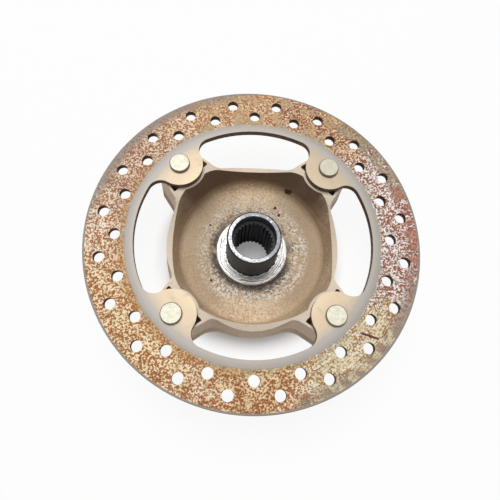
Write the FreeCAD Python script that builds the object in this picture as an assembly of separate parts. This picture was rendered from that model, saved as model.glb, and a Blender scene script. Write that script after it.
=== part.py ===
import FreeCAD
import Part
import math
import os

# A riveted brake disc: a drilled steel ring on a cast bowl carrier with a splined steel sleeve.
# The axis of rotation is Z, with z = 0 at the hub's back face and the bowl opening upwards.
# All sizes are in millimetres.

# Brake disc
disc_mid_height = 52.0
disc_thickness = 5.0
disc_outer_radius = 120.0
disc_inner_radius = 85.5
disc_edge_chamfer = 0.5
band_inner_radius = 91.5
band_edge_margin = 1.2
band_wear_depth = 0.2
holes_per_row = 20
hole_radius = 4.0
outer_row_share = 0.6447
inner_row_share = 0.2619
ear_radius = 17.0
ear_root_radius = 9.4

# Rivets and their washers
rivet_count = 4
rivet_first_angle = 45.0
rivet_circle_radius = 78.8
rivet_shank_radius = 5.0
rivet_head_radius = 7.4
rivet_head_height = 2.5
rivet_head_chamfer = 0.6
rivet_tail_radius = 6.8
rivet_tail_height = 2.2
rivet_tail_flat_share = 0.75
rivet_running_gap = 0.1
back_washer_radius = 8.6
back_washer_thickness = 1.5
wave_washer_radius = 8.2
wave_washer_width = 2.8
wave_washer_strip = 0.5
wave_washer_swing = 0.5
wave_count = 3

# Carrier casting: bowl wall and floor
floor_height = 19.5
floor_corner_radius = 5.0
floor_edge_radius = 52.3
floor_thickness = 9.5
wall_top_radius = 62.9
wall_draft_angle = 6.0
bowl_side_half_width = 62.4
lip_margin = 1.8
lip_half_chord = 9.5
rim_dip_depth = 13.0
rim_dip_slope = 0.4
rim_dip_half_width = 38.0
rim_dip_inner_radius = 60.3
rim_crest_share = 0.3
underside_edge_radius = 2.5

# Carrier casting: arms that carry the rivets
arm_half_width = 16.2
arm_taper_angle = 11.5
arm_draft_angle = 3.5
arm_wall_thickness = 1.7
arm_corner_radius = 8.0
arm_valley_radius = 8.0
arm_valley_growth = 0.26
pad_path_clearance = 1.0
rivet_web_thickness = 13.5
pocket_depth = 16.0
pocket_inner_radius = 66.8
pocket_length = 13.2
pocket_tip_radius = 1.0
rivet_column_radius = 12.5
washer_room = 0.9

# Hub, collar and back recess
hub_radius = 30.0
hub_draft = 1.2
collar_radius = 27.9
collar_rise = 1.7
collar_chamfer = 0.6
collar_step_radius = 23.5
collar_step_depth = 1.0
gutter_radius = 33.0
gutter_depth = 0.4
recess_depth = 2.5
recess_inner_radius = 36.0
recess_outer_radius = 55.0

# Splined sleeve
sleeve_radius = 19.8
sleeve_length = 53.2
sleeve_end_chamfer = 1.1
counterbore_radius = 16.0
counterbore_depth = 9.7
counterbore_chamfer = 0.4
spline_teeth = 28
spline_minor_radius = 13.6
spline_major_radius = 14.8
spline_space_share = 0.5
spline_flank_angle = 30.0
spline_lead_in = 1.2
spline_lead_depth = 0.1
anchor_radius = 23.0
anchor_height = 6.0
anchor_base = 5.0
anchor_notches = 12
anchor_notch_radius = 1.6

# Sizes and levels worked out from the ones above
band_outer_radius = disc_outer_radius - band_edge_margin
band_width = band_outer_radius - band_inner_radius
outer_row_radius = band_inner_radius + outer_row_share * band_width
inner_row_radius = band_inner_radius + inner_row_share * band_width
disc_top = disc_mid_height + disc_thickness / 2
seat_height = disc_mid_height - disc_thickness / 2
underside_height = floor_height - floor_thickness
web_underside = seat_height - rivet_web_thickness
wave_washer_height = wave_washer_strip + 2 * wave_washer_swing
back_washer_top = web_underside - wave_washer_height
tail_top = back_washer_top - back_washer_thickness
rivet_hole_radius = rivet_shank_radius + rivet_running_gap
back_bore_radius = back_washer_radius + washer_room
lip_radius = ear_radius + lip_margin
arm_end_radius = band_inner_radius - pad_path_clearance
bowl_wall_foot_radius = floor_edge_radius + floor_corner_radius
bowl_wall_foot_height = floor_height + floor_corner_radius
rivet_angles = [rivet_first_angle + 360.0 / rivet_count * k for k in range(rivet_count)]

# How far a cutting shape reaches past the face that it opens
clear_above = 20.0
overcut = 1.0

up = FreeCAD.Vector(0, 0, 1)


def polar(radius, angle, z=0.0):
    turn = math.radians(angle)
    return FreeCAD.Vector(radius * math.cos(turn), radius * math.sin(turn), z)


def turned(shape, angle):
    copy = shape.copy()
    copy.rotate(FreeCAD.Vector(0, 0, 0), up, angle)
    return copy


def turned_point(point, angle):
    return FreeCAD.Rotation(up, angle).multVec(point)


def arc(start, middle, end):
    return Part.Arc(start, middle, end).toShape()


def line(start, end):
    return Part.LineSegment(start, end).toShape()


def mirrored(point):
    return FreeCAD.Vector(point.x, -point.y, point.z)


def revolved(points):
    outline = Part.makePolygon([FreeCAD.Vector(r, 0, z) for r, z in points + points[:1]])
    return Part.Face(outline).revolve(FreeCAD.Vector(0, 0, 0), up, 360)


def cylinder(radius, bottom, top, centre=FreeCAD.Vector(0, 0, 0)):
    return Part.makeCylinder(radius, top - bottom, FreeCAD.Vector(centre.x, centre.y, bottom))


# Outline of the disc's opening: ears, their hollow roots and the ring's inner edge
def ear_root_centre():
    ring_reach = disc_inner_radius - ear_root_radius
    ear_reach = ear_radius + ear_root_radius
    x = (ring_reach**2 - ear_reach**2 + rivet_circle_radius**2) / (2 * rivet_circle_radius)
    return FreeCAD.Vector(x, math.sqrt(ring_reach**2 - x**2), 0)


def disc_opening():
    rivet = FreeCAD.Vector(rivet_circle_radius, 0, 0)
    root = ear_root_centre()
    to_ear = (rivet - root).normalize() * ear_root_radius
    to_ring = FreeCAD.Vector(root).normalize() * ear_root_radius
    on_ear = root + to_ear
    on_ring = root + to_ring
    root_middle = root + (to_ear + to_ring).normalize() * ear_root_radius
    ear_tip = rivet - FreeCAD.Vector(ear_radius, 0, 0)
    half_step = 180.0 / rivet_count
    edges = []
    for angle in rivet_angles:
        low = [mirrored(p) for p in (on_ear, root_middle, on_ring)]
        places = [low[2], low[1], low[0], ear_tip, on_ear, root_middle, on_ring]
        a, b, c, d, e, f, g = [turned_point(p, angle) for p in places]
        next_start = turned_point(low[2], angle + 2 * half_step)
        ring_middle = polar(disc_inner_radius, angle + half_step)
        edges += [arc(a, b, c), arc(c, d, e), arc(e, f, g), arc(g, ring_middle, next_start)]
    return Part.Wire(edges)


def disc_hole(radius, centre):
    return cylinder(radius, seat_height - overcut, disc_top + overcut, centre)


def make_brake_disc():
    ring = cylinder(disc_outer_radius, seat_height, disc_top)
    rims = [e for e in ring.Edges if len(e.Vertexes) == 1]
    ring = ring.makeChamfer(disc_edge_chamfer, rims)
    opening = Part.Face(disc_opening())
    opening.translate(up * (seat_height - clear_above))
    ring = ring.cut(opening.extrude(up * (disc_thickness + 2 * clear_above)))
    worn = [worn_band(disc_top, 1), worn_band(seat_height, -1)]
    rows = [(inner_row_radius, 0.0), (outer_row_radius, 0.5)]
    holes = [
        disc_hole(hole_radius, polar(row, 360.0 / holes_per_row * (k + shift)))
        for row, shift in rows
        for k in range(holes_per_row)
    ]
    rivet_holes = [
        disc_hole(rivet_shank_radius, polar(rivet_circle_radius, angle)) for angle in rivet_angles
    ]
    return ring.cut(worn + holes + rivet_holes)


# The pads have worn a shallow band with sloping edges into each face
def worn_band(face_height, side):
    floor = face_height - side * band_wear_depth
    above = face_height + side * band_wear_depth
    spread = 2 * band_wear_depth
    return revolved([
        (band_inner_radius, floor),
        (band_outer_radius, floor),
        (band_outer_radius + spread, above),
        (band_inner_radius - spread, above),
    ])


def slope(angle):
    return math.tan(math.radians(angle))


# Directions along and square to an arm's tapering flank, for the arm that lies on X
def flank_directions():
    taper = math.radians(arm_taper_angle)
    along = FreeCAD.Vector(math.cos(taper), -math.sin(taper), 0)
    out = FreeCAD.Vector(math.sin(taper), math.cos(taper), 0)
    return along, out


def flank_distance(out):
    return FreeCAD.Vector(rivet_circle_radius, arm_half_width, 0).dot(out)


# Outer outline of the carrier at one level. Below the seat the draft lets the bowl's wall and the
# arms' flanks out, and the valleys between them widen. The arm ends are turned to one radius,
# so they stay clear of the pads' path.
def carrier_outline(z):
    depth = seat_height - z
    along, out = flank_directions()
    flank = flank_distance(out) + depth * slope(arm_draft_angle)
    wall = wall_top_radius + depth * slope(wall_draft_angle)
    valley = arm_valley_radius + depth * arm_valley_growth
    corner = arm_corner_radius
    end = arm_end_radius
    valley_centre = centre_beside(flank + valley, wall + valley, along, out)
    corner_centre = centre_beside(flank - corner, end - corner, along, out)
    to_wall = FreeCAD.Vector(valley_centre).normalize() * -valley
    on_wall = valley_centre + to_wall
    valley_middle = valley_centre + (to_wall - out * valley).normalize() * valley
    valley_end = valley_centre - out * valley
    corner_start = corner_centre + out * corner
    to_end = FreeCAD.Vector(corner_centre).normalize() * corner
    corner_middle = corner_centre + (out * corner + to_end).normalize() * corner
    on_end = corner_centre + to_end
    end_middle = FreeCAD.Vector(end, 0, 0)
    half = [on_wall, valley_middle, valley_end, corner_start, corner_middle, on_end]
    half_step = 180.0 / rivet_count
    edges = []
    for angle in rivet_angles:
        low = [lifted(mirrored(p), angle, z) for p in half]
        high = [lifted(p, angle, z) for p in half]
        next_start = lifted(mirrored(on_wall), angle + 2 * half_step, z)
        edges += [
            arc(low[0], low[1], low[2]),
            line(low[2], low[3]),
            arc(low[3], low[4], low[5]),
            arc(low[5], lifted(end_middle, angle, z), high[5]),
            arc(high[5], high[4], high[3]),
            line(high[3], high[2]),
            arc(high[2], high[1], high[0]),
            arc(high[0], polar(wall, angle + half_step, z), next_start),
        ]
    return Part.Wire(edges)


def centre_beside(distance, radius, along, out):
    return out * distance + along * math.sqrt(radius**2 - distance**2)


def lifted(point, angle, z):
    moved = turned_point(point, angle)
    return FreeCAD.Vector(moved.x, moved.y, z)


def carrier_body():
    body = Part.makeLoft([carrier_outline(underside_height), carrier_outline(seat_height)], True, True)
    under_edges = [e for e in body.Edges if e.BoundBox.ZMax < underside_height + underside_edge_radius]
    body = body.makeFillet(underside_edge_radius, under_edges)
    hub = revolved([
        (0, 0),
        (hub_radius, 0),
        (hub_radius + hub_draft, underside_height + recess_depth),
        (0, underside_height + recess_depth),
    ])
    return body.fuse(hub)


# Inside of the bowl: floor with collar and gutter, then the wall up to its squarish mouth
def bowl_floor_cutter():
    step_height = floor_height + collar_rise - collar_step_depth
    collar_top = floor_height + collar_rise
    points = [
        (0, step_height),
        (collar_step_radius, step_height),
        (collar_step_radius, collar_top),
        (collar_radius - collar_chamfer, collar_top),
        (collar_radius, collar_top - collar_chamfer),
        (collar_radius, floor_height - gutter_depth),
        (gutter_radius - gutter_depth, floor_height - gutter_depth),
        (gutter_radius, floor_height),
        (floor_edge_radius, floor_height),
    ]
    corners = [FreeCAD.Vector(r, 0, z) for r, z in points]
    wall_foot = FreeCAD.Vector(bowl_wall_foot_radius, 0, bowl_wall_foot_height)
    bulge = floor_corner_radius * math.sqrt(0.5)
    arc_middle = FreeCAD.Vector(floor_edge_radius + bulge, 0, bowl_wall_foot_height - bulge)
    axis_top = FreeCAD.Vector(0, 0, bowl_wall_foot_height)
    edges = [line(a, b) for a, b in zip(corners, corners[1:])]
    edges += [arc(corners[-1], arc_middle, wall_foot), line(wall_foot, axis_top), line(axis_top, corners[0])]
    return Part.Face(Part.Wire(edges)).revolve(FreeCAD.Vector(0, 0, 0), up, 360)


def bowl_mouth(z, round_mouth):
    cusp_x = rivet_circle_radius - math.sqrt(lip_radius**2 - lip_half_chord**2)
    cusp_angle = math.degrees(math.atan2(lip_half_chord, cusp_x))
    cusp_radius = math.hypot(cusp_x, lip_half_chord)
    lip_middle = rivet_circle_radius - lip_radius
    side_middle = bowl_side_half_width
    if round_mouth:
        cusp_radius = bowl_wall_foot_radius
        lip_middle = bowl_wall_foot_radius
        side_middle = bowl_wall_foot_radius
    half_step = 180.0 / rivet_count
    edges = []
    for angle in rivet_angles:
        start = polar(cusp_radius, angle - cusp_angle, z)
        end = polar(cusp_radius, angle + cusp_angle, z)
        next_start = polar(cusp_radius, angle + 2 * half_step - cusp_angle, z)
        edges += [
            arc(start, polar(lip_middle, angle, z), end),
            arc(end, polar(side_middle, angle + half_step, z), next_start),
        ]
    return Part.Wire(edges)


def bowl_cutter():
    foot = bowl_mouth(bowl_wall_foot_height, True)
    mouth = bowl_mouth(seat_height, False)
    wall = Part.makeLoft([foot, mouth], True, True)
    above = Part.Face(mouth).extrude(up * clear_above)
    return bowl_floor_cutter().fuse([wall, above])


# The rim dips between the arms, a little deeper towards its outer edge
def rim_dip_profile(radius):
    depth = rim_dip_depth + (radius - rim_dip_inner_radius) * rim_dip_slope
    reach = (rim_dip_half_width**2 + depth**2) / (2 * depth)
    crest = reach * rim_crest_share
    hollow = reach - crest
    tilt = math.asin(rim_dip_half_width / reach)
    join_x = hollow * math.sin(tilt)
    join_z = seat_height - depth + hollow * (1 - math.cos(tilt))
    crest_x = rim_dip_half_width - crest * math.sin(tilt / 2)
    crest_z = seat_height - crest * (1 - math.cos(tilt / 2))
    top = seat_height + clear_above

    def at(x, z):
        return FreeCAD.Vector(radius, x, z)

    left = at(-rim_dip_half_width, seat_height)
    right = at(rim_dip_half_width, seat_height)
    return Part.Wire([
        arc(left, at(-crest_x, crest_z), at(-join_x, join_z)),
        arc(at(-join_x, join_z), at(0, seat_height - depth), at(join_x, join_z)),
        arc(at(join_x, join_z), at(crest_x, crest_z), right),
        line(right, at(rim_dip_half_width, top)),
        line(at(rim_dip_half_width, top), at(-rim_dip_half_width, top)),
        line(at(-rim_dip_half_width, top), left),
    ])


def rim_dip_cutters():
    inner = rim_dip_inner_radius - lip_half_chord
    profiles = [rim_dip_profile(inner), rim_dip_profile(arm_end_radius)]
    dip = Part.makeLoft(profiles, True, True)
    half_step = 180.0 / rivet_count
    return [turned(dip, angle + half_step) for angle in rivet_angles]


# Each arm is a box with a rivet column in it, and on each side a three-cornered pocket that
# leaves an even wall along the flank
def arm_pockets():
    bottom = seat_height - pocket_depth
    top = seat_height + clear_above
    along, out = flank_directions()
    side = flank_distance(out) - arm_wall_thickness
    inner_reach = (pocket_inner_radius - out.x * side) / along.x
    outer_reach = inner_reach + pocket_length
    inner_corner = out * side + along * inner_reach
    outer_corner = out * side + along * outer_reach
    corners = [
        FreeCAD.Vector(pocket_inner_radius, 0, 0),
        FreeCAD.Vector(outer_corner.x, 0, 0),
        outer_corner,
        inner_corner,
    ]
    outline = Part.makePolygon([c + up * bottom for c in corners + corners[:1]])
    block = Part.Face(outline).extrude(up * (top - bottom))
    upright = [e for e in block.Edges if e.BoundBox.ZLength > pocket_depth]
    tips = [e for e in upright if e.BoundBox.YMin > outer_corner.y / 2]
    block = block.makeFillet(pocket_tip_radius, tips)
    rivet = FreeCAD.Vector(rivet_circle_radius, 0, 0)
    block = block.cut(cylinder(rivet_column_radius, bottom - overcut, top + overcut, rivet))
    other = block.mirror(FreeCAD.Vector(0, 0, 0), FreeCAD.Vector(0, 1, 0))
    return [turned(half, angle) for angle in rivet_angles for half in (block, other)]


def rivet_bores():
    bores = []
    for angle in rivet_angles:
        centre = polar(rivet_circle_radius, angle)
        bores.append(cylinder(rivet_hole_radius, web_underside - overcut, seat_height + overcut, centre))
        bores.append(cylinder(back_bore_radius, underside_height - overcut, web_underside, centre))
    return bores


def back_recess():
    return revolved([
        (recess_inner_radius, underside_height - overcut),
        (recess_outer_radius, underside_height - overcut),
        (recess_outer_radius, underside_height),
        (recess_outer_radius - recess_depth, underside_height + recess_depth),
        (recess_inner_radius + recess_depth, underside_height + recess_depth),
        (recess_inner_radius, underside_height),
    ])


def make_carrier():
    body = carrier_body()
    cutters = [bowl_cutter(), back_recess(), sleeve_outside()]
    cutters += rim_dip_cutters() + arm_pockets() + rivet_bores()
    return body.cut(cutters)


# Sleeve: plain journal outside, with a notched anchor ring that the casting grips
def sleeve_outside():
    journal = revolved([
        (0, 0),
        (sleeve_radius, 0),
        (sleeve_radius, sleeve_length - sleeve_end_chamfer),
        (sleeve_radius - sleeve_end_chamfer, sleeve_length),
        (0, sleeve_length),
    ])
    anchor = cylinder(anchor_radius, anchor_base, anchor_base + anchor_height)
    notches = [
        cylinder(
            anchor_notch_radius,
            anchor_base - overcut,
            anchor_base + anchor_height + overcut,
            polar(anchor_radius, 360.0 / anchor_notches * k),
        )
        for k in range(anchor_notches)
    ]
    return journal.fuse(anchor.cut(notches))


def spline_bore():
    pitch = 360.0 / spline_teeth
    pitch_radius = (spline_minor_radius + spline_major_radius) / 2
    half_space = pitch * spline_space_share / 2
    rise = (spline_major_radius - spline_minor_radius) / 2
    lean = math.degrees(rise * slope(spline_flank_angle) / pitch_radius)
    root_half = half_space - lean
    tip_half = half_space + lean
    edges = []
    for k in range(spline_teeth):
        middle = pitch * k
        tip_start = polar(spline_minor_radius, middle - tip_half)
        root_start = polar(spline_major_radius, middle - root_half)
        root_end = polar(spline_major_radius, middle + root_half)
        tip_end = polar(spline_minor_radius, middle + tip_half)
        next_tip = polar(spline_minor_radius, middle + pitch - tip_half)
        edges += [
            line(tip_start, root_start),
            arc(root_start, polar(spline_major_radius, middle), root_end),
            line(root_end, tip_end),
            arc(tip_end, polar(spline_minor_radius, middle + pitch / 2), next_tip),
        ]
    return Part.Face(Part.Wire(edges)).extrude(up * sleeve_length)


def make_spline_sleeve():
    shoulder = sleeve_length - counterbore_depth
    lead_radius = spline_minor_radius - spline_lead_depth
    lead_out_radius = spline_major_radius + counterbore_chamfer
    mouth = revolved([
        (0, shoulder - spline_lead_in),
        (lead_radius, shoulder - spline_lead_in),
        (counterbore_radius, shoulder),
        (counterbore_radius, sleeve_length - counterbore_chamfer),
        (counterbore_radius + counterbore_chamfer, sleeve_length),
        (0, sleeve_length),
    ])
    tail_mouth = revolved([
        (0, 0),
        (lead_out_radius, 0),
        (lead_radius, lead_out_radius - lead_radius),
        (0, lead_out_radius - lead_radius),
    ])
    return sleeve_outside().cut([spline_bore(), mouth, tail_mouth])


# Rivet: flat head on the ear, plain shank, peened tail under the back washer
def rivet_at(centre):
    head_top = disc_top + rivet_head_height
    tail_bottom = tail_top - rivet_tail_height
    rivet = revolved([
        (0, tail_bottom),
        (rivet_tail_radius * rivet_tail_flat_share, tail_bottom),
        (rivet_tail_radius, tail_top - rivet_tail_height / 2),
        (rivet_tail_radius, tail_top),
        (rivet_shank_radius, tail_top),
        (rivet_shank_radius, disc_top),
        (rivet_head_radius, disc_top),
        (rivet_head_radius, head_top - rivet_head_chamfer),
        (rivet_head_radius - rivet_head_chamfer, head_top),
        (0, head_top),
    ])
    rivet.translate(centre)
    return rivet


def back_washer_at(centre):
    washer = cylinder(back_washer_radius, tail_top, back_washer_top, centre)
    return washer.cut(cylinder(rivet_shank_radius, tail_top - overcut, back_washer_top + overcut, centre))


# Wavy spring washer: a flat strip ring that rises and falls between the web and the back washer
def wave_curve(centre, radius, height):
    points_per_wave = 8
    count = wave_count * points_per_wave
    points = []
    for k in range(count):
        angle = 360.0 / count * k
        swing = wave_washer_swing * math.cos(math.radians(angle * wave_count))
        points.append(centre + polar(radius, angle, height + swing))
    curve = Part.BSplineCurve()
    curve.interpolate(points, PeriodicFlag=True)
    return curve.toShape()


def wave_washer_at(centre):
    low = back_washer_top + wave_washer_swing
    high = low + wave_washer_strip
    inner = wave_washer_radius - wave_washer_width
    corners = [
        wave_curve(centre, inner, low),
        wave_curve(centre, wave_washer_radius, low),
        wave_curve(centre, wave_washer_radius, high),
        wave_curve(centre, inner, high),
    ]
    faces = [Part.makeRuledSurface(a, b) for a, b in zip(corners, corners[1:] + corners[:1])]
    shell = Part.makeShell(faces)
    shell.sewShape()
    return Part.makeSolid(shell)


def main():
    os.makedirs("parts", exist_ok=True)
    pieces = {
        "brake_disc": make_brake_disc(),
        "carrier": make_carrier(),
        "spline_sleeve": make_spline_sleeve(),
    }
    for number, angle in enumerate(rivet_angles, start=1):
        centre = polar(rivet_circle_radius, angle)
        pieces[f"rivet_{number}"] = rivet_at(centre)
        pieces[f"wave_washer_{number}"] = wave_washer_at(centre)
        pieces[f"back_washer_{number}"] = back_washer_at(centre)
    for name, shape in pieces.items():
        shape.exportStep(f"parts/{name}.step")
        print(name, len(shape.Solids), "solid", round(shape.Volume), "mm3", "valid", shape.isValid())


main()
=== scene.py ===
import math

import bpy
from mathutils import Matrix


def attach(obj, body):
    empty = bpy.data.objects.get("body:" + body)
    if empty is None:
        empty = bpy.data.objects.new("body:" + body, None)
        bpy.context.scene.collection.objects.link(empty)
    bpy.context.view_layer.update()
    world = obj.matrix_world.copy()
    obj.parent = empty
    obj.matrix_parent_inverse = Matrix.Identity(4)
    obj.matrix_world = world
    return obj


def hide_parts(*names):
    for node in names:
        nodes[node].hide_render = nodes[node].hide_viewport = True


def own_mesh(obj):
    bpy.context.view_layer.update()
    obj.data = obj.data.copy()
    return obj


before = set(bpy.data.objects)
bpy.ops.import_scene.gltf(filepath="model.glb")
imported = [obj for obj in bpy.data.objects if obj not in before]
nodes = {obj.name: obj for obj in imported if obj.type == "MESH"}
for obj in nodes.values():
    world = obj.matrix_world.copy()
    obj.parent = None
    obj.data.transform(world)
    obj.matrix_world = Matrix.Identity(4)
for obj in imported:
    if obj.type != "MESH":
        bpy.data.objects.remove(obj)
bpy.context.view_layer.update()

# A used riveted brake disc, lying on its hub on a white table with the bowl open to the camera.
# Lengths are in metres. The disc's axis is Z and its rivets stand at 45 degrees to X and Y.


def mm(length):
    return length / 1000


def hexColour(code):
    # sRGB hex to the linear colour that a shader socket takes
    parts = [int(code[i:i + 2], 16) / 255 for i in (1, 3, 5)]
    linear = [p / 12.92 if p <= 0.04045 else ((p + 0.055) / 1.055) ** 2.4 for p in parts]
    return (*linear, 1.0)


def addNode(tree, kind, inputs=None, **settings):
    # adds one node, sets its options, then fills or links its sockets; a hex code becomes a colour
    node = tree.nodes.new(kind)
    for name, value in settings.items():
        setattr(node, name, value)
    for socket, value in (inputs or {}).items():
        if isinstance(value, bpy.types.NodeSocket):
            tree.links.new(value, node.inputs[socket])
        elif isinstance(value, str):
            node.inputs[socket].default_value = hexColour(value)
        else:
            node.inputs[socket].default_value = value
    return node


def newMaterial(name):
    material = bpy.data.materials.new(name)
    material.use_nodes = True
    material.node_tree.nodes.clear()
    return material, material.node_tree


reliefStrength = 0.6  # one for all the metals, so only the depth differs


def finishMaterial(tree, surface, height, depth):
    # the surface shader with its fine relief, steady values straight on the sockets
    bump = addNode(tree, "ShaderNodeBump", {
        "Height": height, "Distance": depth, "Strength": reliefStrength})
    shader = addNode(tree, "ShaderNodeBsdfPrincipled", {"Normal": bump.outputs["Normal"], **surface})
    addNode(tree, "ShaderNodeOutputMaterial", {"Surface": shader.outputs["BSDF"]})


def placeOnDisc(tree):
    # where a point lies: its distance from the axis, its height, which way out, and how level it is
    point = addNode(tree, "ShaderNodeTexCoord").outputs["Object"]
    split = addNode(tree, "ShaderNodeSeparateXYZ", {"Vector": point})
    flat = addNode(tree, "ShaderNodeVectorMath", {0: point, 1: (1, 1, 0)}, operation="MULTIPLY")
    radius = addNode(tree, "ShaderNodeVectorMath", {0: flat.outputs["Vector"]}, operation="LENGTH")
    outward = addNode(tree, "ShaderNodeVectorMath", {0: flat.outputs["Vector"]}, operation="NORMALIZE")
    geometry = addNode(tree, "ShaderNodeNewGeometry")
    face = addNode(tree, "ShaderNodeSeparateXYZ", {"Vector": geometry.outputs["True Normal"]})
    level = addNode(tree, "ShaderNodeMath", {0: face.outputs["Z"]}, operation="ABSOLUTE")
    return {"point": point, "height": split.outputs["Z"], "radius": radius.outputs["Value"],
            "outward": outward.outputs["Vector"], "level": level.outputs["Value"]}


def grains(tree, place, size, detail=3.0, seed=0.0, raggedness=0.6):
    # raw noise with grains about `size` across, 0.5 on average; `seed` moves the pattern
    moved = addNode(tree, "ShaderNodeVectorMath", {
        0: place["point"], 1: (seed, 0.7 * seed, 0)}, operation="ADD")
    noise = addNode(tree, "ShaderNodeTexNoise", {
        "Vector": moved.outputs["Vector"], "Scale": 1 / size, "Detail": detail, "Roughness": raggedness})
    return noise.outputs["Fac"]


def turningMarks(tree, place, spacing, wobble, seed=0.0):
    # raw noise in rings round the axis, a little out of true
    offRadius = addNode(tree, "ShaderNodeMath", {
        0: grains(tree, place, mm(9), seed=seed), 1: wobble, 2: place["radius"]}, operation="MULTIPLY_ADD")
    rings = addNode(tree, "ShaderNodeTexNoise", {
        "W": offRadius.outputs["Value"], "Scale": 1 / spacing, "Detail": 3.0}, noise_dimensions="1D")
    return rings.outputs["Fac"]


sideWander = 0.3  # how far the edge of a side wanders, as a cosine


def towards(tree, place, side, wander):
    # limit for one side of the disc: full within `full` degrees of `angle`, gone by `end`
    turn = math.radians(side["angle"])
    facing = addNode(tree, "ShaderNodeVectorMath", {
        0: place["outward"], 1: (math.cos(turn), math.sin(turn), 0)}, operation="DOT_PRODUCT")
    uneven = addNode(tree, "ShaderNodeMath", {
        0: wander, 1: sideWander, 2: facing.outputs["Value"]}, operation="MULTIPLY_ADD")
    start, full = [math.cos(math.radians(side[key])) + sideWander / 2 for key in ("end", "full")]
    return (uneven.outputs["Value"], start, full, side.get("top", 1.0))


def shownWhere(tree, *limits):
    # how much of a mark shows: each limit (value, start, end, top) rises softly from 0 at start to
    # top at end, start may lie above end, and a mark shows only where all of its limits let it
    share = 1.0
    for value, start, end, *top in limits:
        step = addNode(tree, "ShaderNodeMapRange", {
            "Value": value, "From Min": start, "From Max": end, "To Max": top[0] if top else 1.0},
            interpolation_type="SMOOTHSTEP")
        share = addNode(tree, "ShaderNodeMath", {
            0: share, 1: step.outputs["Result"]}, operation="MULTIPLY").outputs["Value"]
    return share


def layCoats(tree, colour, *coats):
    # each coat is a colour and its limits, and covers what was laid before it
    for coat, *limits in coats:
        share = shownWhere(tree, *limits)
        mix = addNode(tree, "ShaderNodeMix", {0: share, 6: colour, 7: coat}, data_type="RGBA")
        colour = mix.outputs[2]
    return colour


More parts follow.
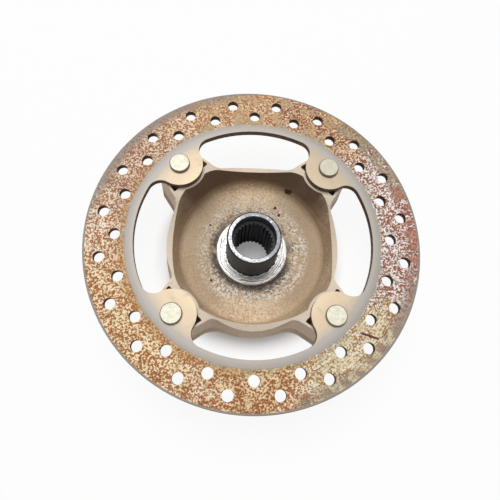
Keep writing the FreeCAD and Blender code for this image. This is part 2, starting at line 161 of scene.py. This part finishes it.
# Under "steps" in the finishes, a mark starts to show at the first value and is full at the second,
# which may be the lower one. A third value is how much shows at most. Steps without mm are in
# noise, which runs from 0 to 1, and those of "level" run from upright faces, 0, to flat ones, 1.
discFinish = {
    "bandFrom": mm(91.8), "borderSoft": mm(0.3), "borderWander": mm(2.2), "borderTeeth": mm(6),
    "sizes": {"wander": mm(14), "cloud": mm(8), "rust": mm(1.5), "clump": mm(3.4), "pit": mm(1.1),
              "padMark": mm(0.7), "padMarkWobble": mm(2), "stain": mm(8)},
    "cloudShare": 0.18,
    "tones": {"light": "#FFF6E0", "middle": "#D8AB84", "rust": "#AE6F48"},
    # each side's tones are its own rust and also painted light: darkest towards the upper right, lightest at
    # the lower right
    "rustAndShadeSides": (
        {"angle": 218, "full": 18, "end": 36, "light": "#FFEFC8", "middle": "#D0A068", "rust": "#A96633"},
        {"angle": 142, "full": 16, "end": 34, "light": "#F3DDC2", "middle": "#BC9479", "rust": "#9C684C"},
        {"angle": 100, "full": 14, "end": 36, "light": "#F2DCB4", "middle": "#CBA079", "rust": "#B0734B"},
        {"angle": 52, "full": 18, "end": 34, "light": "#F6D9B0", "middle": "#A9754F", "rust": "#8E5437"},
        {"angle": 4, "full": 30, "end": 44, "light": "#FFFBF6", "middle": "#BA9D8D", "rust": "#96583F"},
        {"angle": -52, "full": 13, "end": 28, "light": "#FFFBEC", "middle": "#E8D0A0", "rust": "#B4854A"},
        {"angle": -92, "full": 10, "end": 26, "light": "#F6DDAE", "middle": "#BE8B5A", "rust": "#9F5F35"},
    ),
    # thin films over parts of the band; the lower a film's patch steps, the more of it is left
    "films": (
        {"colour": "#A79B8F", "angle": 132, "full": 22, "end": 46, "top": 1.0,
         "across": (mm(110), mm(117)), "patch": (0.1, 0.2)},
        {"colour": "#A79B8F", "angle": -42, "full": 16, "end": 40, "top": 1.0,
         "across": (mm(108), mm(116)), "patch": (0.1, 0.2)},
        {"colour": "#F6E8C4", "angle": -50, "full": 10, "end": 22, "top": 0.75,
         "across": (mm(93), mm(96)), "patch": (0.40, 0.50)},
        {"colour": "#A89E82", "angle": 38, "full": 10, "end": 26, "top": 0.85,
         "across": (mm(105), mm(113)), "patch": (0.3, 0.4)},
        {"colour": "#B66E52", "angle": 2, "full": 10, "end": 22, "top": 0.8,
         "across": (mm(106), mm(112)), "patch": (0.42, 0.52)},
        {"colour": "#C9AA80", "angle": 82, "full": 20, "end": 40, "top": 0.8,
         "across": (mm(90), mm(93)), "patch": (0.46, 0.56)},
        {"colour": "#C08A45", "angle": 205, "full": 45, "end": 75, "top": 0.5,
         "across": (mm(100), mm(94)), "patch": (0.1, 0.2)},
    ),
    "greenFilm": "#B5AC8A", "padMark": "#7F6348", "pit": "#54382A",
    "scoredSide": {"angle": -50, "full": 12, "end": 28},
    "scratch": {"colour": "#5A2E22", "middle": (mm(78), mm(-69), mm(54.3)), "turn": -18.0,
                "along": (mm(7.5), mm(5.5)), "across": (mm(1.0), mm(0.6))},
    "outerLip": "#968D85", "ring": "#A8A19A", "ringInner": "#B8B1A9", "ringBorder": "#8A7C6D",
    "earRoot": "#D3C2AC", "ear": "#E6CFAF", "earTip": "#EED9B4", "shadedEar": "#B9A78D", "stain": "#BFA88C",
    "shadedSide": {"angle": 45, "full": 20, "end": 60, "top": 0.5},
    "wall": "#56473D", "wallRust": "#74503A",
    "steps": {
        "lightGrain": (0.600, 0.625), "rustGrain": (0.592, 0.565),
        "lightClump": (0.56, 0.62), "grainInLight": (0.44, 0.50), "lightRadius": (mm(112), mm(106)),
        "rustClump": (0.42, 0.36), "grainInRust": (0.58, 0.52), "grainInFilm": (0.36, 0.52),
        "greenRadius": (mm(99), mm(92)), "greenCloud": (0.50, 0.62, 0.7), "grainInGreen": (0.3, 0.5),
        "padMark": (0.56, 0.66, 0.5), "padMarkPlace": (0.45, 0.60),
        "score": (0.53, 0.60, 0.8), "scorePlace": (0.42, 0.52), "pit": (0.63, 0.68, 0.85),
        "grainInScratch": (0.25, 0.4),
        "ringInner": (mm(90.5), mm(86.5)), "ringBorder": (mm(90.5), mm(92)),
        "grainInBorder": (0.42, 0.56, 0.6), "earRoot": (mm(86.3), mm(82)), "ear": (mm(83), mm(76)),
        "earTip": (mm(72), mm(63)), "stain": (0.5, 0.75, 0.5), "shadedEar": (mm(87), mm(83)),
        "bandEnd": (mm(119.0), mm(118.2)), "outerLip": (mm(118.4), mm(119)),
        "uprightLevel": (0.6, 0.3), "wallRustCloud": (0.44, 0.60, 0.8), "grainInWallRust": (0.40, 0.55),
    },
    "rough": {"plain": 0.5, "rusty": 0.75}, "metallic": 0.1, "relief": mm(0.2),
}


def rustedDiscSteel():
    # ground disc steel left out in the wet. Where the pads ran, a cream film shows through orange
    # rust in grains of a millimetre or two; where they never reached, it stayed a plain warm grey.
    # So the eye gets a busy mottled band between two quiet rings, and cream ears.
    look, sizes, steps = discFinish, discFinish["sizes"], discFinish["steps"]
    material, tree = newMaterial("rustedDiscSteel")
    place = placeOnDisc(tree)
    radius = place["radius"]
    wander = grains(tree, place, sizes["wander"], detail=2.0)
    cloud = grains(tree, place, sizes["cloud"], detail=1.0, seed=0.2)
    fine = grains(tree, place, sizes["rust"], detail=5.0, raggedness=0.66)
    grain = addNode(tree, "ShaderNodeMath", {
        0: cloud, 1: look["cloudShare"], 2: fine}, operation="MULTIPLY_ADD").outputs["Value"]

    tones = dict(look["tones"])
    # rust tones by side, with painted light and shade in them
    for side in look["rustAndShadeSides"]:
        here = towards(tree, place, side, wander)
        for tone in tones:
            tones[tone] = layCoats(tree, tones[tone], (side[tone], here))

    films = [(film["colour"], (radius, *film["across"]), towards(tree, place, film, wander),
              (fine, *steps["grainInFilm"]), (cloud, *film["patch"])) for film in look["films"]]
    clumps = grains(tree, place, sizes["clump"], detail=3.0, seed=2.3)
    padMarks = turningMarks(tree, place, sizes["padMark"], sizes["padMarkWobble"], seed=1.9)
    pitNoise = grains(tree, place, sizes["pit"], seed=0.1)
    band = layCoats(
        tree, tones["middle"],
        (tones["light"], (grain, *steps["lightGrain"])),
        (tones["rust"], (grain, *steps["rustGrain"])),
        (tones["light"], (clumps, *steps["lightClump"]), (fine, *steps["grainInLight"]),
         (radius, *steps["lightRadius"])),
        (tones["rust"], (clumps, *steps["rustClump"]), (fine, *steps["grainInRust"])),
        *films,
        (look["greenFilm"], (radius, *steps["greenRadius"]), (cloud, *steps["greenCloud"]),
         (fine, *steps["grainInGreen"])),
        (look["padMark"], (padMarks, *steps["padMark"]), (wander, *steps["padMarkPlace"])),
        (look["padMark"], (padMarks, *steps["score"]), (clumps, *steps["scorePlace"]),
         towards(tree, place, look["scoredSide"], wander)),
        (look["pit"], (pitNoise, *steps["pit"])))

    # one dark scrape on the band
    scratch = look["scratch"]
    onScratch = addNode(tree, "ShaderNodeMapping", {
        "Vector": place["point"], "Location": scratch["middle"],
        "Rotation": (0, 0, math.radians(scratch["turn"]))}, vector_type="TEXTURE")
    split = addNode(tree, "ShaderNodeSeparateXYZ", {"Vector": onScratch.outputs["Vector"]})
    along, across = [addNode(tree, "ShaderNodeMath", {0: split.outputs[axis]}, operation="ABSOLUTE")
                     for axis in ("X", "Y")]
    band = layCoats(tree, band, (
        scratch["colour"], (along.outputs["Value"], *scratch["along"]),
        (across.outputs["Value"], *scratch["across"]), (fine, *steps["grainInScratch"])))

    stainNoise = grains(tree, place, sizes["stain"], seed=0.5)
    plain = layCoats(
        tree, look["ring"],
        (look["ringInner"], (radius, *steps["ringInner"])),
        (look["ringBorder"], (radius, *steps["ringBorder"]), (fine, *steps["grainInBorder"])),
        (look["earRoot"], (radius, *steps["earRoot"])),
        (look["ear"], (radius, *steps["ear"])),
        (look["earTip"], (radius, *steps["earTip"])),
        (look["stain"], (stainNoise, *steps["stain"])),
        # painted shade: the ears towards the upper right are darker
        (look["shadedEar"], (radius, *steps["shadedEar"]), towards(tree, place, look["shadedSide"], wander)))

    # the band's inner edge wanders slowly and has small teeth; each noise adds half its reach on
    # average, so the limit lies that much further out
    border = radius
    for noise, reach in ((wander, look["borderWander"]), (fine, look["borderTeeth"])):
        border = addNode(tree, "ShaderNodeMath", {
            0: noise, 1: reach, 2: border}, operation="MULTIPLY_ADD").outputs["Value"]
    bandStart = look["bandFrom"] + (look["borderWander"] + look["borderTeeth"]) / 2
    bandLimits = ((border, bandStart - look["borderSoft"], bandStart + look["borderSoft"]),
                  (radius, *steps["bandEnd"]))
    upright = (place["level"], *steps["uprightLevel"])
    colour = layCoats(
        tree, plain,
        (band, *bandLimits),
        (look["outerLip"], (radius, *steps["outerLip"])),
        (look["wall"], upright),
        (look["wallRust"], upright, (cloud, *steps["wallRustCloud"]), (fine, *steps["grainInWallRust"])))

    inBand = shownWhere(tree, *bandLimits)
    rough = addNode(tree, "ShaderNodeMapRange", {
        "Value": inBand, "To Min": look["rough"]["plain"], "To Max": look["rough"]["rusty"]})
    relief = addNode(tree, "ShaderNodeMath", {0: grain, 1: inBand}, operation="MULTIPLY")
    finishMaterial(
        tree, {"Base Color": colour, "Roughness": rough.outputs["Result"], "Metallic": look["metallic"]},
        relief.outputs["Value"], look["relief"])
    return material


carrierFinish = {
    "paint": "#E0C6A4", "paintWarm": "#D6B793", "paintPale": "#F0DDC0", "paintDull": "#BCA180",
    "rimPaint": "#EADAC4", "paintedLitOuterWall": "#F3E0CC", "innerWallDarker": "#AC937C", "shadyWall": "#6E5746",
    "paintedSideShade": "#AF977B", "speck": "#6B5947", "grime": "#8A7864", "collarFootDark": "#43372E",
    "barePatch": "#F0E7D8", "pit": "#3A302A", "chip": "#3A201A",
    "bare": "#DAD8D5", "bareGrey": "#9B9894", "scratch": "#4C4A48", "edgeGlint": "#FAFAFA",
    "blackEdge": "#1B1B1C", "sleeveRadius": mm(19.8), "blackReach": mm(1.8), "blackOut": mm(0.6),
    "blackSoft": mm(0.2), "edgeGlintOut": (mm(1.2), mm(0.7)),
    "sizes": {"wander": mm(13), "paint": mm(1.6), "speck": mm(0.9), "warm": mm(20), "patch": mm(1.9),
              "patchCloud": mm(6), "pit": mm(1.1), "rings": mm(0.8), "ringWobble": mm(5),
              "broken": mm(4), "blackEdge": mm(2.5)},
    "shadySide": {"angle": 90, "full": 40, "end": 80, "top": 0.85},
    "shadedFloorSides": ({"angle": 180, "full": 40, "end": 85, "top": 0.75},
                  {"angle": 0, "full": 40, "end": 85, "top": 0.85}),
    "wornSides": ({"angle": 90, "full": 175, "end": 180, "top": 0.6},
                  {"angle": -55, "full": 60, "end": 120}),
    "collarFootSides": ({"angle": 0, "full": 175, "end": 180, "top": 0.35},
                   {"angle": 235, "full": 65, "end": 120},
                   {"angle": -40, "full": 20, "end": 60, "top": 0.8}),
    # each chip's place and its size
    "chips": (((mm(29), mm(51), mm(24)), mm(3.4)), ((mm(31), mm(50), mm(26)), mm(2.6)),
              ((mm(19), mm(37), mm(19.5)), mm(1.5)), ((mm(-33), mm(21), mm(19.5)), mm(0.9)),
              ((mm(-31), mm(-24), mm(19.5)), mm(1.1)), ((mm(22), mm(31), mm(19.5)), mm(1.3))),
    "chipRagged": 1.6, "chipStart": 1.9,
    "steps": {
        "aboveFloor": (mm(14), mm(16)), "belowRim": (mm(27), mm(23)),
        "insideWall": (mm(64), mm(62.5)), "steep": (0.75, 0.35), "wallFoot": (mm(21), mm(30)),
        "rimHeight": (mm(32), mm(35)), "rimLevel": (0.45, 0.8),
        "warm": (0.42, 0.62), "paleGrain": (0.52, 0.62), "dullGrain": (0.47, 0.36),
        "grainInRim": (0.15, 0.45), "outsideWall": (mm(62), mm(66)), "outsideSteep": (0.6, 0.3),
        "grainInOutside": (0.0, 0.4, 0.75), "innerWallDarker": (0.1, 0.7, 0.6), "paintedSideShade": (mm(30), mm(46)),
        "patchFrom": (mm(29), mm(34)), "patchTo": (mm(47), mm(38)), "patch": (0.46, 0.55),
        "patchCloud": (0.37, 0.52), "collarFootDark": (mm(35), mm(29.5)), "grainInCollarFoot": (0.30, 0.48),
        "collarFootPlace": (0.3, 0.5), "speck": (0.60, 0.68, 0.7), "grime": (mm(44), mm(31)),
        "grimeCloud": (0.3, 0.6, 0.8), "pitFrom": (mm(28), mm(30)), "pitTo": (mm(46), mm(34)),
        "pit": (0.58, 0.64), "pitCloud": (0.3, 0.5), "collar": (mm(28.1), mm(27.8)),
        "greyRing": (0.44, 0.54), "darkRing": (0.54, 0.62), "darkRingPlace": (0.36, 0.56),
        "deepRing": (0.42, 0.36), "deepRingPlace": (0.55, 0.70),
        "edgeGlintPlace": (0.40, 0.48), "backFace": (mm(0.6), mm(0.2)), "backLevel": (0.9, 0.97),
    },
    "rough": {"paint": 0.7, "bare": 0.38}, "bareMetallic": 0.35, "relief": mm(0.22),
}


def tanPaintedCasting():
    # tan paint sprayed on sand-cast aluminium: an even soft tan with a fine grain, worn pale on the
    # rim, pitted through to bare metal round the collar, and darker in patches in the corner below it.
    # The collar is turned metal, bright, with dark rings where the tool and later rubbing scored it.
    look, sizes, steps = carrierFinish, carrierFinish["sizes"], carrierFinish["steps"]
    material, tree = newMaterial("tanPaintedCasting")
    place = placeOnDisc(tree)
    radius, height, level = place["radius"], place["height"], place["level"]
    wander = grains(tree, place, sizes["wander"], detail=2.0)
    fine = grains(tree, place, sizes["paint"], detail=4.0, seed=0.2)
    speckNoise = grains(tree, place, sizes["speck"], seed=1.1)
    warmNoise = grains(tree, place, sizes["warm"], detail=2.0, seed=0.4)
    onFloor = ((height, *steps["aboveFloor"]), (height, *steps["belowRim"]))
    innerSide = ((radius, *steps["insideWall"]), (level, *steps["steep"]), (height, *steps["wallFoot"]))
    onRim = ((height, *steps["rimHeight"]), (level, *steps["rimLevel"]))
    paint = layCoats(
        tree, look["paint"],
        (look["paintWarm"], (warmNoise, *steps["warm"])),
        (look["paintPale"], (fine, *steps["paleGrain"])),
        (look["paintDull"], (fine, *steps["dullGrain"])),
        (look["rimPaint"], *onRim, (fine, *steps["grainInRim"])),
        # painted light: paler paint on the outer walls, as if lit from the table below
        (look["paintedLitOuterWall"], (radius, *steps["outsideWall"]), (level, *steps["outsideSteep"]),
         (fine, *steps["grainInOutside"])),
        # the inner walls darker in patches
        (look["innerWallDarker"], *innerSide, (wander, *steps["innerWallDarker"])),
        (look["shadyWall"], *innerSide, towards(tree, place, look["shadySide"], wander)),
        # painted shade: the outer floor darker towards the left and right
        *[(look["paintedSideShade"], *onFloor, (radius, *steps["paintedSideShade"]), towards(tree, place, side, wander))
          for side in look["shadedFloorSides"]])

    patchNoise = grains(tree, place, sizes["patch"], detail=5.0, seed=0.7)
    patchCloud = grains(tree, place, sizes["patchCloud"], detail=2.0, seed=0.8)
    pitNoise = grains(tree, place, sizes["pit"], detail=3.0, seed=0.9)
    roundCollar = (*onFloor, (radius, *steps["patchFrom"]), (radius, *steps["patchTo"]))
    collarFootRing = (*onFloor, (radius, *steps["collarFootDark"]), (fine, *steps["grainInCollarFoot"]),
                (wander, *steps["collarFootPlace"]))
    colour = layCoats(
        tree, paint,
        (look["speck"], *onFloor, (speckNoise, *steps["speck"])),
        (look["grime"], *onFloor, (radius, *steps["grime"]), (patchCloud, *steps["grimeCloud"])),
        # a patchy darker ring round the foot of the collar, mostly left, lower left and right
        *[(look["collarFootDark"], *collarFootRing, towards(tree, place, side, wander)) for side in look["collarFootSides"]],
        *[(look["barePatch"], *roundCollar, (patchNoise, *steps["patch"]),
           (patchCloud, *steps["patchCloud"]), towards(tree, place, side, wander))
          for side in look["wornSides"]],
        (look["pit"], *onFloor, (radius, *steps["pitFrom"]), (radius, *steps["pitTo"]),
         (pitNoise, *steps["pit"]), (patchCloud, *steps["pitCloud"])))
    for middle, size in look["chips"]:
        gap = addNode(tree, "ShaderNodeVectorMath", {0: place["point"], 1: middle}, operation="DISTANCE")
        ragged = addNode(tree, "ShaderNodeMath", {
            0: fine, 1: look["chipRagged"] * size, 2: gap.outputs["Value"]}, operation="MULTIPLY_ADD")
        colour = layCoats(tree, colour, (look["chip"], (
            ragged.outputs["Value"], look["chipStart"] * size, look["chipRagged"] * size)))

    # turned collar: rings from the tool, and a ragged black edge where the sleeve's finish ran over
    onCollar = (*onFloor, (radius, *steps["collar"]))
    rings = turningMarks(tree, place, sizes["rings"], sizes["ringWobble"], seed=1.3)
    broken = grains(tree, place, sizes["broken"], seed=1.5)
    raggedReach = addNode(tree, "ShaderNodeMath", {
        0: grains(tree, place, sizes["blackEdge"], seed=1.7), 1: -2 * look["blackReach"], 2: radius},
        operation="MULTIPLY_ADD").outputs["Value"]
    blackStop = look["sleeveRadius"] - look["blackReach"] + look["blackOut"]
    blackEnd = blackStop + look["blackSoft"]
    glintEnd, glintStart = [blackStop + out for out in look["edgeGlintOut"]]
    bare = layCoats(
        tree, look["bare"],
        (look["bareGrey"], (rings, *steps["greyRing"])),
        (look["scratch"], (rings, *steps["darkRing"]), (broken, *steps["darkRingPlace"])),
        (look["scratch"], (rings, *steps["deepRing"]), (broken, *steps["deepRingPlace"])),
        # painted highlight: a ragged white line just outside the black edge
        (look["edgeGlint"], (raggedReach, glintEnd, glintStart), (broken, *steps["edgeGlintPlace"])),
        (look["blackEdge"], (raggedReach, blackEnd, blackStop)))
    onBackFace = ((height, *steps["backFace"]), (level, *steps["backLevel"]))
    colour = layCoats(tree, colour, (bare, *onCollar), (bare, *onBackFace))

    rough = addNode(tree, "ShaderNodeMapRange", {
        "Value": shownWhere(tree, *onCollar),
        "To Min": look["rough"]["paint"], "To Max": look["rough"]["bare"]})
    metallic = shownWhere(tree, *onCollar, (raggedReach, blackStop, blackEnd, look["bareMetallic"]))
    finishMaterial(
        tree, {"Base Color": colour, "Roughness": rough.outputs["Result"], "Metallic": metallic},
        fine, look["relief"])
    return material


sleeveFinish = {
    "black": "#0F1013", "inside": "#2A2C30", "worn": "#5C5E62",
    "bright": "#6F7176", "nick": "#3C3D41", "paintedGlint": "#D9DADC",
    "glintSide": {"angle": 215, "full": 50, "end": 110},
    "sizes": {"wander": mm(12), "rubbed": mm(1.4), "nick": mm(1.4), "paintedGlint": mm(2.6)},
    "steps": {
        "faceHeight": (mm(52.3), mm(52.6)), "faceInner": (mm(15.95), mm(16.25)),
        "faceOuter": (mm(19.05), mm(18.75)), "paintedGlint": (0.54, 0.64, 0.7), "nickGlint": (0.46, 0.54),
        "nick": (0.56, 0.62, 0.8), "inside": (mm(16.6), mm(15.9)), "bore": (mm(16.6), mm(15.5)),
        "boreWear": (0.52, 0.66, 0.8), "toothGlint": (0.62, 0.68, 0.8),
        "toothFrom": (mm(41.5), mm(43)), "toothTo": (mm(45), mm(43.6)), "wear": (0.60, 0.72, 0.5),
    },
    "rough": {"black": 0.5, "faced": 0.36}, "facedMetallic": 0.3, "relief": mm(0.06),
}


def blackenedSleeveSteel():
    # turned steel, blackened all over and then faced at its end: satin black with a silver ring,
    # nicked where tools slipped, and grey wear on the spline tips; painted highlights on the ring,
    # most towards the lower left, and at the start of the splines
    look, sizes, steps = sleeveFinish, sleeveFinish["sizes"], sleeveFinish["steps"]
    material, tree = newMaterial("blackenedSleeveSteel")
    place = placeOnDisc(tree)
    radius, height = place["radius"], place["height"]
    wander = grains(tree, place, sizes["wander"], detail=2.0)
    rubbed = grains(tree, place, sizes["rubbed"], detail=4.0)
    nicks = grains(tree, place, sizes["nick"], detail=3.0, seed=0.4)
    paintedGlint = grains(tree, place, sizes["paintedGlint"], detail=3.0, seed=0.8)
    inBore = (radius, *steps["bore"])
    faced = ((height, *steps["faceHeight"]), (radius, *steps["faceInner"]), (radius, *steps["faceOuter"]))
    bright = layCoats(
        tree, look["bright"],
        # painted highlights on the faced ring, in patches and on nicks towards the lower left
        (look["paintedGlint"], (paintedGlint, *steps["paintedGlint"])),
        (look["paintedGlint"], (nicks, *steps["nickGlint"]), towards(tree, place, look["glintSide"], wander)),
        (look["nick"], (nicks, *steps["nick"])))
    colour = layCoats(
        tree, look["black"],
        (look["inside"], (radius, *steps["inside"])),
        (look["worn"], (rubbed, *steps["boreWear"]), inBore),
        # painted highlight along the start of the splines
        (look["paintedGlint"], (rubbed, *steps["toothGlint"]), (height, *steps["toothFrom"]),
         (height, *steps["toothTo"]), inBore),
        (look["worn"], (rubbed, *steps["wear"])),
        (bright, *faced))
    inFace = shownWhere(tree, *faced)
    rough = addNode(tree, "ShaderNodeMapRange", {
        "Value": inFace, "To Min": look["rough"]["black"], "To Max": look["rough"]["faced"]})
    metallic = addNode(tree, "ShaderNodeMath", {
        0: inFace, 1: look["facedMetallic"]}, operation="MULTIPLY")
    finishMaterial(
        tree, {"Base Color": colour, "Roughness": rough.outputs["Result"],
               "Metallic": metallic.outputs["Value"]},
        rubbed, look["relief"])
    return material


rivetFinish = {
    "plate": "#F4F2DD", "dull": "#E6E2CB", "smear": "#D2CDB4", "shadedPlate": "#B5AD97", "edge": "#7F7564",
    "sizes": {"dull": mm(3.2), "smear": mm(1.4), "wander": mm(14), "grain": mm(0.9)},
    "shadedSide": {"angle": 45, "full": 25, "end": 70, "top": 0.5},
    "steps": {"dull": (0.42, 0.62), "smear": (0.54, 0.70), "chamferLevel": (0.97, 0.75)},
    "rough": 0.5, "metallic": 0.1, "relief": mm(0.08),
}


def dulledZincRivet():
    # zinc-plated steel gone dull: pale cream-green with faint blotches, darker on the chamfer
    look, sizes, steps = rivetFinish, rivetFinish["sizes"], rivetFinish["steps"]
    material, tree = newMaterial("dulledZincRivet")
    place = placeOnDisc(tree)
    dull = grains(tree, place, sizes["dull"])
    smear = grains(tree, place, sizes["smear"], seed=0.3)
    wander = grains(tree, place, sizes["wander"])
    colour = layCoats(
        tree, look["plate"],
        (look["dull"], (dull, *steps["dull"])),
        (look["smear"], (smear, *steps["smear"])),
        # painted shade: the heads towards the upper right are darker
        (look["shadedPlate"], towards(tree, place, look["shadedSide"], wander)),
        (look["edge"], (place["level"], *steps["chamferLevel"])))
    finishMaterial(
        tree, {"Base Color": colour, "Roughness": look["rough"], "Metallic": look["metallic"]},
        grains(tree, place, sizes["grain"], seed=0.6), look["relief"])
    return material


washerFinish = {"steel": "#8D8B86", "stain": "#7A6248", "stainSize": mm(3), "stainStep": (0.48, 0.62),
                "rough": 0.45, "metallic": 0.7, "relief": mm(0.03)}


def stainedSpringSteel():
    # hardened spring steel from behind the rivets: plain grey with light brown stains
    look = washerFinish
    material, tree = newMaterial("stainedSpringSteel")
    stain = grains(tree, placeOnDisc(tree), look["stainSize"])
    colour = layCoats(tree, look["steel"], (look["stain"], (stain, *look["stainStep"])))
    finishMaterial(
        tree, {"Base Color": colour, "Roughness": look["rough"], "Metallic": look["metallic"]},
        stain, look["relief"])
    return material


def dress(nodeNames, material):
    for name in nodeNames:
        for slot in nodes[name].material_slots:
            slot.material = material
    print("dressed", len(nodeNames), "with", material.name)


rivets = [name for name in nodes if name.startswith("rivet")]
waveWashers = [name for name in nodes if name.startswith("wave_washer")]
backWashers = [name for name in nodes if name.startswith("back_washer")]
springSteel = stainedSpringSteel()
dress(["brake_disc"], rustedDiscSteel())
dress(["carrier"], tanPaintedCasting())
dress(["spline_sleeve"], blackenedSleeveSteel())
dress(rivets, dulledZincRivet())
dress(waveWashers + backWashers, springSteel)


springWasher = {"joint": "disc_float", "slack": mm(0.01), "weld": mm(0.001), "smoothUnder": 30}


def makeSpringWasher(name, material):
    # the wavy washer flattens between the casting and the back washer as the disc floats up; a
    # welded, smooth-shaded copy attached to the hub stands for the solid one
    washer = bpy.data.objects.new(name.replace("wave_washer", "springWasher"), nodes[name].data.copy())
    bpy.context.scene.collection.objects.link(washer)
    bpy.ops.object.select_all(action="DESELECT")
    washer.select_set(True)
    bpy.context.view_layer.objects.active = washer
    bpy.ops.object.mode_set(mode="EDIT")
    bpy.ops.mesh.select_all(action="SELECT")
    bpy.ops.mesh.remove_doubles(threshold=springWasher["weld"])
    bpy.ops.object.mode_set(mode="OBJECT")
    bpy.ops.object.shade_smooth_by_angle(angle=math.radians(springWasher["smoothUnder"]))
    washer.data.materials.clear()
    washer.data.materials.append(material)
    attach(washer, "hub")
    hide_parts(name)
    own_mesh(washer)


for name in waveWashers:
    makeSpringWasher(name, springSteel)
print("spring washers ready")


table = {"size": 12.0, "drop": mm(0.2), "white": "#FFFFFF",
         "underDisc": mm(64), "clearOfDisc": mm(82), "selfLitUnder": 0.22, "selfLitClear": 0.92}


def makeTable():
    # a white table top. Some of its white glows straight to the camera, more where it lies clear of
    # the disc, so that less glow paints the floor darker under the disc, and the rest takes the disc's
    # shadow.
    bpy.ops.object.select_all(action="DESELECT")
    bpy.ops.mesh.primitive_plane_add(size=table["size"], location=(0, 0, -table["drop"]))
    top = bpy.context.object
    top.name = "tableTop"
    material, tree = newMaterial("whiteTable")
    paper = addNode(tree, "ShaderNodeBsdfDiffuse", {"Color": table["white"]})
    glow = addNode(tree, "ShaderNodeEmission", {"Color": table["white"], "Strength": 1.0})
    seen = addNode(tree, "ShaderNodeLightPath")
    selfLit = addNode(tree, "ShaderNodeMapRange", {
        "Value": placeOnDisc(tree)["radius"],
        "From Min": table["underDisc"], "From Max": table["clearOfDisc"],
        "To Min": table["selfLitUnder"], "To Max": table["selfLitClear"]}, interpolation_type="SMOOTHSTEP")
    share = addNode(tree, "ShaderNodeMath", {
        0: seen.outputs["Is Camera Ray"], 1: selfLit.outputs["Result"]}, operation="MULTIPLY")
    mixed = addNode(tree, "ShaderNodeMixShader", {
        0: share.outputs["Value"], 1: paper.outputs["BSDF"], 2: glow.outputs["Emission"]})
    addNode(tree, "ShaderNodeOutputMaterial", {"Surface": mixed.outputs["Shader"]})
    top.data.materials.append(material)
    print("table ready")


studio = {"sky": 0.16, "white": "#FFFFFF", "softbox": {"power": 46.0, "size": 1.3, "from": (-0.2, 0.8, 2.4)}}


def makeStudio():
    # one softbox above and behind the disc, in a room that lights it faintly and looks white
    lamp = studio["softbox"]
    bpy.ops.object.light_add(type="AREA", location=lamp["from"])
    light = bpy.context.object
    light.name = "softbox"
    light.data.energy = lamp["power"]
    light.data.size = lamp["size"]
    light.rotation_euler = (-light.location).to_track_quat("-Z", "Y").to_euler()
    world = bpy.data.worlds.new("whiteRoom")
    world.use_nodes = True
    tree = world.node_tree
    tree.nodes.clear()
    seen = addNode(tree, "ShaderNodeLightPath")
    shown = seen.outputs["Is Camera Ray"]
    for ray in ("Is Glossy Ray", "Is Transmission Ray"):
        either = addNode(tree, "ShaderNodeMath", {0: shown, 1: seen.outputs[ray]}, operation="MAXIMUM")
        shown = either.outputs["Value"]
    lit = addNode(tree, "ShaderNodeBackground", {"Color": studio["white"], "Strength": studio["sky"]})
    backdrop = addNode(tree, "ShaderNodeBackground", {"Color": studio["white"], "Strength": 1.0})
    mixed = addNode(tree, "ShaderNodeMixShader", {
        0: shown, 1: lit.outputs["Background"], 2: backdrop.outputs["Background"]})
    addNode(tree, "ShaderNodeOutputWorld", {"Surface": mixed.outputs["Shader"]})
    bpy.context.scene.world = world
    print("studio ready")


cameraView = {"place": (-0.019933, -0.103268, 0.352493), "turn": (17.330, -3.291, 0.274),
              "lens": 31.943, "sensor": 36, "near": mm(10)}


def makeCamera():
    # fitted to the drilled holes in the photograph
    bpy.ops.object.camera_add(location=cameraView["place"])
    camera = bpy.context.object
    camera.rotation_euler = [math.radians(a) for a in cameraView["turn"]]
    camera.data.lens = cameraView["lens"]
    camera.data.sensor_width = cameraView["sensor"]
    camera.data.clip_start = cameraView["near"]
    bpy.context.scene.camera = camera
    print("camera ready")


makeTable()
makeStudio()
makeCamera()
bpy.context.scene.view_settings.view_transform = "Standard"
